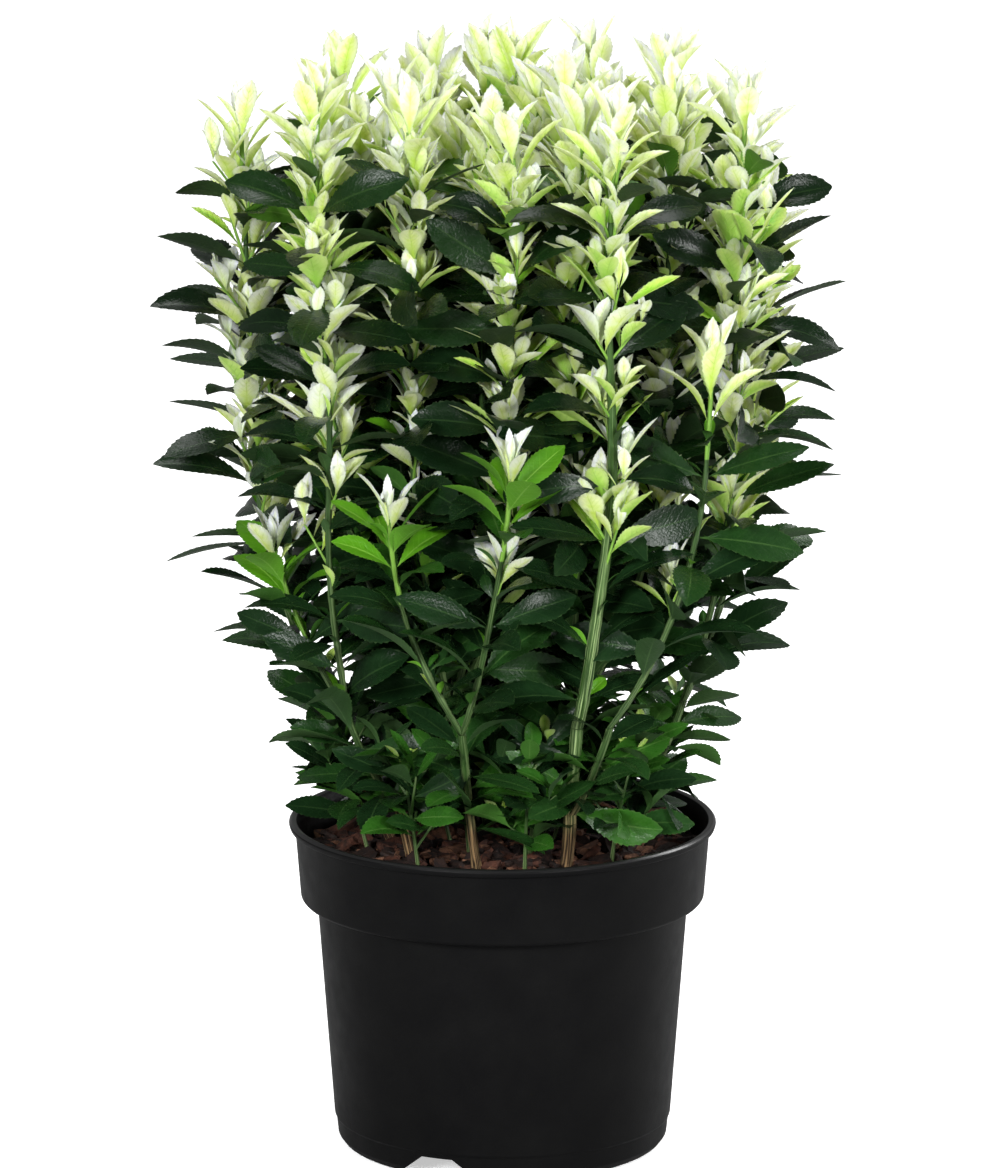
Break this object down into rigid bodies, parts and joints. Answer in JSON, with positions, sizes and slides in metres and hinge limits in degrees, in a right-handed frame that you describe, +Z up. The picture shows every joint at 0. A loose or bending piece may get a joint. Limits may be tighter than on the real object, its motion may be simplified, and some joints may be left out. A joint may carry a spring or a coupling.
{
  "type": "potted euonymus shrub",
  "caption": "Upright evergreen euonymus clump with white and lime shoot tips over dark leaves, in a round black nursery pot topped with bark mulch.",
  "frame": {"origin": "on the pot's axis, on the ground under its foot ring", "axes": "+Z up the plant; -Y is the side the picture shows"},
  "size_m": [0.3072, 0.3048, 0.5035],
  "materials": {
    "pot_plastic": "matt black moulded plastic with a slight sheen",
    "mulch_bark": "loose dark red-brown bark chips",
    "stem_bark": "green young bark with tan corky ridges",
    "leaf_dark": "glossy dark green leaves with fine teeth",
    "leaf_pale": "satin young leaves, white and cream at the tips and lime to bright green below"
  },
  "bodies": {
    "root": {"pot": "pot_plastic", "bark_mulch": "mulch_bark", "stem_1": "stem_bark", "stem_2": "stem_bark", "stem_3": "stem_bark", "stem_4": "stem_bark", "stem_5": "stem_bark", "stem_6": "stem_bark", "stem_7": "stem_bark", "stem_8": "stem_bark", "edge_bough_1": "stem_bark", "edge_bough_2": "stem_bark", "edge_bough_3": "stem_bark", "edge_bough_4": "stem_bark", "heart_bough_1": "stem_bark", "heart_bough_2": "stem_bark", "heart_bough_3": "stem_bark", "heart_bough_4": "stem_bark", "edge_foliage_1": "leaf_dark", "edge_foliage_2": "leaf_dark", "edge_foliage_3": "leaf_dark", "edge_foliage_4": "leaf_dark", "edge_foliage_5": "leaf_dark", "edge_foliage_6": "leaf_dark", "edge_foliage_7": "leaf_dark", "edge_foliage_8": "leaf_dark", "heart_foliage_1": "leaf_pale", "heart_foliage_2": "leaf_pale", "heart_foliage_3": "leaf_pale", "heart_foliage_4": "leaf_pale", "low_spray_1": "leaf_dark", "low_spray_2": "leaf_dark", "low_spray_3": "leaf_dark", "low_spray_4": "leaf_dark", "low_spray_5": "leaf_dark", "low_spray_6": "leaf_dark", "low_spray_7": "leaf_dark", "low_spray_8": "leaf_dark"}
  },
  "joints": []
}
